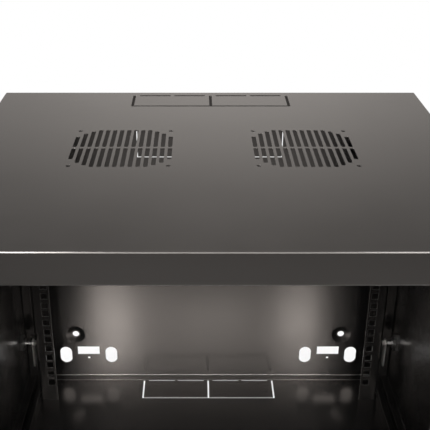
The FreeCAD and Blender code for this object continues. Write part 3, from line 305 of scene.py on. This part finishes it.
def floor_material():
    """Paper that shows white, takes a faint shadow and turns darker grey in front, a painted shade."""
    material = bpy.data.materials.new("studio_floor")
    tree = Tree(material)
    rays = tree.node("ShaderNodeLightPath")
    seen = rays.out("Is Camera Ray").either(rays.out("Is Transmission Ray"))
    place = tree.coordinates("Object")
    white = tree.mix(tree.noise(place, PAPER_MOTTLE_SCALE), PAPER_DARK, PAPER_PALE)
    # Towards the front the paper turns darker grey: painted shade.
    paper = tree.mix(tree.parts(place).out("Y").smooth(*PAPER_START), SHADED_FRONT_GREY, white)
    plain = tree.node("ShaderNodeBsdfDiffuse", {}, {"Color": paper})
    glow = tree.node("ShaderNodeEmission", {}, {"Color": WHITE, "Strength": 1.0})
    distance = tree.vector("LENGTH", place).out("Value")
    lit = seen * (distance.smooth(*SHADOW_REACH) * SHADOW_SHARE + (1.0 - SHADOW_SHARE))
    tree.surface(tree.node("ShaderNodeMixShader", {}, {0: lit, 1: plain.out(), 2: glow.out()}))
    return material


print("floor: paper from", PAPER_START, "shadow within", SHADOW_REACH)

# %% [markdown]
# The floor itself is one square face that lies a hair below the cabinet, so that the two
# don't fight for the same place.

# %% Floor
FLOOR_GAP = 0.0005
FLOOR_REACH = 6.0
FLOOR_CORNERS = ((-1, -1), (1, -1), (1, 1), (-1, 1))

floor_level = cad_box[0].z - FLOOR_GAP
corners = [(FLOOR_REACH * x, FLOOR_REACH * y, floor_level) for x, y in FLOOR_CORNERS]
floor_mesh = bpy.data.meshes.new("studio_floor")
floor_mesh.from_pydata(corners, [], [(0, 1, 2, 3)])
floor_mesh.materials.append(floor_material())
floor = bpy.data.objects.new("studio_floor", floor_mesh)
bpy.context.scene.collection.objects.link(floor)
print("floor at", round(floor_level, 4))

# %% [markdown]
# ## The lamps
#
# Softboxes are area lamps: large faces that give soft shadows and long, even highlights. How
# bright a highlight is depends on the radiance of the lamp's face, not on its power, so the
# helper takes the radiance and works out the watts. A grid in front of a softbox keeps its
# light in a narrow cone. Blender calls the angle of that cone the spread, and packs the same
# watts into it, so the helper hands out fewer watts for a narrower cone.


# %% Softbox helper
def softbox(name, place, target, size, radiance, spread=180.0):
    """Add a rectangular lamp; spread is the full angle of its grid in degrees."""
    width, height = size
    half_spread = math.radians(spread) / 2
    grid_share = 1.0 - half_spread / math.tan(half_spread)
    data = bpy.data.lights.new(name, "AREA")
    data.shape = "RECTANGLE"
    data.size = width
    data.size_y = height
    data.spread = math.radians(spread)
    data.energy = radiance * math.pi * width * height * grid_share
    lamp = bpy.data.objects.new(name, data)
    lamp.location = place
    aim = Vector(target) - Vector(place)
    lamp.rotation_euler = aim.to_track_quat("-Z", "Y").to_euler()
    lamp.visible_camera = False
    bpy.context.scene.collection.objects.link(lamp)
    print("lamp", name, "power", round(data.energy, 2), "W")


print("helper: softbox")

# %% [markdown]
# Two long strips hang high up, one beyond each side of the cabinet, and shine straight down.
# The rounded fold along the front of the top sheet mirrors them towards its ends, and that
# fold is the one bright line across the picture. The left strip is the stronger one, because
# the line is brightest at its left end.

# %% Strips overhead
STRIP_LEVEL = 1.60
STRIP_MIDDLE = -0.30
STRIP_LENGTH = 1.5


def overhead_strip(name, strip_x, width, radiance):
    """A long softbox that runs from front to back and shines straight down."""
    place = (strip_x, STRIP_MIDDLE, STRIP_LEVEL)
    straight_below = (strip_x, STRIP_MIDDLE, 0.0)
    softbox(name, place, straight_below, (width, STRIP_LENGTH), radiance)


overhead_strip("overhead_left", strip_x=-0.60, width=0.45, radiance=23.5)
overhead_strip("overhead_right", strip_x=0.62, width=0.40, radiance=8.5)

# %% [markdown]
# The inside needs light that gets in under the top and comes back out. Base and back sheet
# meet at a right angle, and such a corner sends light back the way it came, in two bounces.
# So three gridded lamps low in front of the opening show up on the back sheet: one bright
# patch at each side and a dimmer, wider one in the middle. They hang just below the level of
# the top sheet, and aim down at the base a little in front of that corner. Any higher and
# they would skim over the top, and leave a white glare on it for a viewer behind the cabinet.

# %% Gridded lamps in front of the opening
GRID = 60.0
LAMP_HEIGHT = 0.19
LAMP_LINE = (-0.72, 0.1425)
AIM_LINE = (-0.15, -0.25)


def opening_lamp(name, lamp_x, aim_x, width, radiance):
    """A gridded lamp that looks in under the top; its lines are given as Y and Z."""
    place = (lamp_x, *LAMP_LINE)
    target = (aim_x, *AIM_LINE)
    softbox(name, place, target, (width, LAMP_HEIGHT), radiance, GRID)


opening_lamp("opening_left", lamp_x=-0.231, aim_x=-0.17, width=0.09, radiance=118.0)
opening_lamp("opening_right", lamp_x=0.243, aim_x=0.17, width=0.09, radiance=90.0)
opening_lamp("opening_middle", lamp_x=0.0, aim_x=0.0, width=0.26, radiance=32.0)

# %% [markdown]
# ## A shelf for the finishes
#
# Each finish is a recipe that other finishes can share, so it is a function with a few
# numbers. They all start alike, with an empty material that is kept under its name until the
# solids are dressed at the end.

# %% Start of every finish
FINISHES = {}


def start_finish(name):
    """Make an empty material, keep it under its name, and hand over its tree."""
    FINISHES[name] = bpy.data.materials.new(name)
    return Tree(FINISHES[name])


print("finishes so far:", len(FINISHES))

# %% [markdown]
# ## Painted highlights on edges and folds
#
# Under these lamps the rounded folds and the cut edges stay too dark, so a paler grey is
# painted onto them: a painted highlight. A picture of it would have to be fitted to each sheet.
# Nodes can find the spots by themselves.
#
# The Bevel node bends the surface normal near an edge, so wherever it differs from the true
# normal there is an edge. A fold is a face that points neither straight ahead, nor sideways,
# nor up, which the normal in the object's own axes shows. Only folds that run across the
# cabinet count here.

# %% Masks for edges and folds
EDGE_BEND = (0.01, 0.22)
FOLD_SLANT = (0.09, 0.24)
FOLD_SIDEWAYS = (0.1, 0.4)


def edge_mask(tree, bent_normal):
    """1 on sharp edges and 0 on the flat."""
    true_normal = tree.node("ShaderNodeNewGeometry").out("Normal")
    agreement = tree.vector("DOT_PRODUCT", bent_normal, true_normal).out("Value")
    return (1.0 - agreement).smooth(*EDGE_BEND)


def fold_mask(tree):
    """1 on a fold that runs across the cabinet and 0 on faces along the main planes."""
    facing = tree.parts(tree.vector("ABSOLUTE", tree.coordinates("Normal")).out())
    squarest = facing.out("X").either(facing.out("Y")).either(facing.out("Z"))
    across = 1.0 - facing.out("X").smooth(*FOLD_SIDEWAYS)
    return (1.0 - squarest).smooth(*FOLD_SLANT) * across


print("masks: edges and folds")

# %% [markdown]
# ## Powder coat
#
# Every sheet of the cabinet is powder coated: a dry powder is sprayed on and baked, and it
# melts into a tough satin skin with a very fine orange peel. A plain black with one roughness
# would look like plastic. So broad clouds shift the black and its roughness a little, the peel
# goes into roughness and bump, and both masks mix in a paler grey, which is a painted highlight.

# %% Powder coat
EDGE_WIDTH = 0.0008
EDGE_SAMPLES = 6
# The pale grey below is painted onto folds and edges as a highlight.
HIGHLIGHT_GREY = rgb(0.20, 0.195, 0.19)
COAT_TINT = rgb(1.0, 0.93, 0.88)
COAT_IOR = 1.7
CLOUD_SCALE = 9.0
CLOUD_DARK = 0.9
CLOUD_PALE = 1.12
CLOUD_ROUGHNESS = 0.08
PEEL_SCALE = 1400.0
PEEL_ROUGHNESS = 0.10
PEEL_DEPTH = 0.00005
PEEL_STRENGTH = 0.12


def powder_coat(name, value, roughness, fold_highlight, edge_highlight, ior=COAT_IOR):
    """Black satin paint, with a painted highlight of pale grey in the given shares on folds and on
    edges.
    """
    tree = start_finish(name)
    place = tree.coordinates("Object")
    cloud = tree.noise(place, CLOUD_SCALE, detail=3.0)
    peel = tree.noise(place, PEEL_SCALE, roughness=0.6)
    bent_normal = tree.node("ShaderNodeBevel", {"samples": EDGE_SAMPLES}, {"Radius": EDGE_WIDTH}).out()
    # Folds and edges get a pale grey here: a painted highlight.
    painted_highlight = (fold_mask(tree) * fold_highlight).either(edge_mask(tree, bent_normal) * edge_highlight)
    black = tree.mix(cloud, warm(value * CLOUD_DARK), warm(value * CLOUD_PALE))
    bump = {"Strength": PEEL_STRENGTH, "Distance": PEEL_DEPTH, "Height": peel, "Normal": bent_normal}
    tree.principled({
        "Base Color": tree.mix(painted_highlight, black, HIGHLIGHT_GREY),
        "Roughness": cloud.swing(CLOUD_ROUGHNESS) + peel.swing(PEEL_ROUGHNESS) + roughness,
        "IOR": ior,
        "Specular Tint": COAT_TINT,
        "Normal": tree.node("ShaderNodeBump", {}, bump).out(),
    })
    print("powder coat", name, "value", value, "roughness", roughness)


# %% [markdown]
# One paint would do for the whole cabinet, but its sheets get copies with different painted
# light. The frame of the door wears the plain shell paint. The top sheet gets a strong painted
# highlight along its front fold and hardly anywhere else. The back and the base get a darker
# black, painted shade for the inside, with painted highlights on their folds and cut edges. The
# removable sides get the darkest black, painted shade, and the dullest sheen. Posts and rails
# are coated apart from the shell, and get a painted highlight on their edges, round the square
# holes too. A lower index of refraction (IOR) makes a coat mirror less.

# %% Painted sheets and rails
powder_coat("shell_paint", value=0.0075, roughness=0.21, fold_highlight=0.15, edge_highlight=0.30)
# The top sheet's front fold gets the full painted highlight.
powder_coat("top_highlight_paint", value=0.0075, roughness=0.21, fold_highlight=1.00, edge_highlight=0.15)
# The back and the base get a darker black: painted shade for the inside, with painted highlights on
# folds and edges.
powder_coat("inner_shaded_paint", value=0.0050, roughness=0.21, fold_highlight=0.80, edge_highlight=0.50)
# The sides get the darkest black, painted shade, and a lower IOR for a dimmer sheen.
powder_coat("side_shaded_paint", value=0.0045, roughness=0.26, fold_highlight=0.15, edge_highlight=0.30, ior=1.5)
# Posts and rails get a painted highlight on their edges, round the square holes too.
powder_coat("frame_paint", value=0.0050, roughness=0.23, fold_highlight=0.15, edge_highlight=0.50, ior=1.6)

# %% [markdown]
# ## Zinc and lock metal
#
# Nuts, screws, clips and pins are steel with a bright zinc plating, which dries in faint
# clouds and takes small dull patches where it is gripped. The cams get a paler zinc, a painted
# highlight on their edges. Locks are die cast and plated with a smoother, slightly darker skin,
# and the barrels and nuts of the latches get a darker, rougher metal. All are the same recipe
# with other numbers: metallic 1, so that the colour is the colour of the reflection, clouds that
# change colour and roughness together, and a very fine grain as bump.

# %% Plated metals
PLATED_EDGE_WIDTH = 0.0003
PLATED_EDGE_SAMPLES = 4
PLATING_CLOUD_SCALE = 160.0
PLATING_CLOUD_DARK = 0.82
PLATING_GRAIN_SCALE = 2600.0
PLATING_GRAIN_DEPTH = 0.00003
PLATING_GRAIN_STRENGTH = 0.15


def plated(name, value, roughness, patchiness):
    """A metal skin; patchiness is how far the roughness changes from cloud to cloud."""
    tree = start_finish(name)
    place = tree.coordinates("Object")
    cloud = tree.noise(place, PLATING_CLOUD_SCALE, detail=4.0)
    edge = {"Radius": PLATED_EDGE_WIDTH}
    bump = {
        "Strength": PLATING_GRAIN_STRENGTH,
        "Distance": PLATING_GRAIN_DEPTH,
        "Height": tree.noise(place, PLATING_GRAIN_SCALE),
        "Normal": tree.node("ShaderNodeBevel", {"samples": PLATED_EDGE_SAMPLES}, edge).out(),
    }
    tree.principled({
        "Base Color": tree.mix(cloud, warm(value * PLATING_CLOUD_DARK), warm(value)),
        "Metallic": 1.0,
        "Roughness": cloud.swing(patchiness) + roughness,
        "Normal": tree.node("ShaderNodeBump", {}, bump).out(),
    })
    print("plated metal", name, "value", value, "roughness", roughness)


plated("zinc", value=0.58, roughness=0.34, patchiness=0.14)
plated("lock_metal", value=0.52, roughness=0.22, patchiness=0.08)
# The barrels and nuts of the latches get a darker, rougher metal.
plated("darker_latch_metal", value=0.16, roughness=0.40, patchiness=0.08)
# The cams get a paler zinc: a painted highlight on their edges.
plated("cam_highlight_zinc", value=0.85, roughness=0.30, patchiness=0.10)

# %% [markdown]
# ## Smoked glass
#
# The door has a pane of safety glass, tinted grey so that the lamps of the equipment behind it
# shine through and the cables don't. Alpha would only make the pane fade. Transmission
# bends the light as glass does, and tints it once at each face. Faint smears in the
# roughness keep it from looking like an empty frame.

# %% Smoked glass
GLASS_TINT = rgb(0.30, 0.30, 0.31)
GLASS_IOR = 1.5
GLASS_ROUGHNESS = 0.03
SMEAR_SCALE = 14.0
SMEAR_ROUGHNESS = 0.03


def smoked_glass(name):
    """Tinted clear glass with faint smears."""
    tree = start_finish(name)
    smear = tree.noise(tree.coordinates("Object"), SMEAR_SCALE, detail=3.0)
    tree.principled({
        "Base Color": GLASS_TINT,
        "Roughness": smear.swing(SMEAR_ROUGHNESS) + GLASS_ROUGHNESS,
        "Transmission Weight": 1.0,
        "IOR": GLASS_IOR,
    })
    print("glass", name, "tint", GLASS_TINT[:3])


smoked_glass("smoked_glass")

# %% [markdown]
# ## Rubber and nylon
#
# The pane sits in an extruded rubber seal, and the door's pins turn in flanged nylon bushes.
# Both come out of a mould or a die, so both have a fine grain that is the same all over. Rubber
# is rough and nearly black, and nylon is a little paler and smoother.

# %% Moulded pieces
MOULD_GRAIN_PALE = 1.25
MOULD_GRAIN_ROUGHNESS = 0.1
MOULD_GRAIN_DEPTH = 0.00005
MOULD_GRAIN_STRENGTH = 0.3


def moulded(name, value, roughness, grain_scale):
    """Rubber or plastic with an even, fine grain."""
    tree = start_finish(name)
    grain = tree.noise(tree.coordinates("Object"), grain_scale, detail=3.0)
    bump = {"Strength": MOULD_GRAIN_STRENGTH, "Distance": MOULD_GRAIN_DEPTH, "Height": grain}
    tree.principled({
        "Base Color": tree.mix(grain, grey(value), grey(value * MOULD_GRAIN_PALE)),
        "Roughness": grain.swing(MOULD_GRAIN_ROUGHNESS) + roughness,
        "Normal": tree.node("ShaderNodeBump", {}, bump).out(),
    })
    print("moulded", name, "value", value, "roughness", roughness)


moulded("seal_rubber", value=0.018, roughness=0.75, grain_scale=900.0)
moulded("bush_nylon", value=0.030, roughness=0.50, grain_scale=1200.0)

# %% [markdown]
# ## Dressing the solids
#
# Each solid arrives with a material slot that names its finish. Filling the slot leaves the
# mesh as it is, so the solid keeps its size and still follows its joint. A short list names
# the pieces that swap the plain finish for their own version of it. It goes by how a piece's
# name starts, so one line covers a piece at the left and its twin at the right.

# %% Give every solid its finish
OWN_FINISH = {
    "top_panel": "top_highlight_paint",
    "back_panel": "inner_shaded_paint",
    "base_panel": "inner_shaded_paint",
    "side_panel": "side_shaded_paint",
    "latch_barrels": "darker_latch_metal",
    "latch_nuts": "darker_latch_metal",
    "latch_cam": "cam_highlight_zinc",
}

for name, node in nodes.items():
    own = [finish for start, finish in OWN_FINISH.items() if name.startswith(start)]
    for slot in node.material_slots:
        usual = slot.material.name.split(".")[0]
        slot.material = FINISHES[own[0] if own else usual]
print("finishes:", len(FINISHES), "on", len(nodes), "solids")

# %% [markdown]
# ## The last call
#
# The Standard view transform shows a colour as it is written, with no film look on top.

# %% Finish
bpy.context.scene.view_settings.view_transform = "Standard"
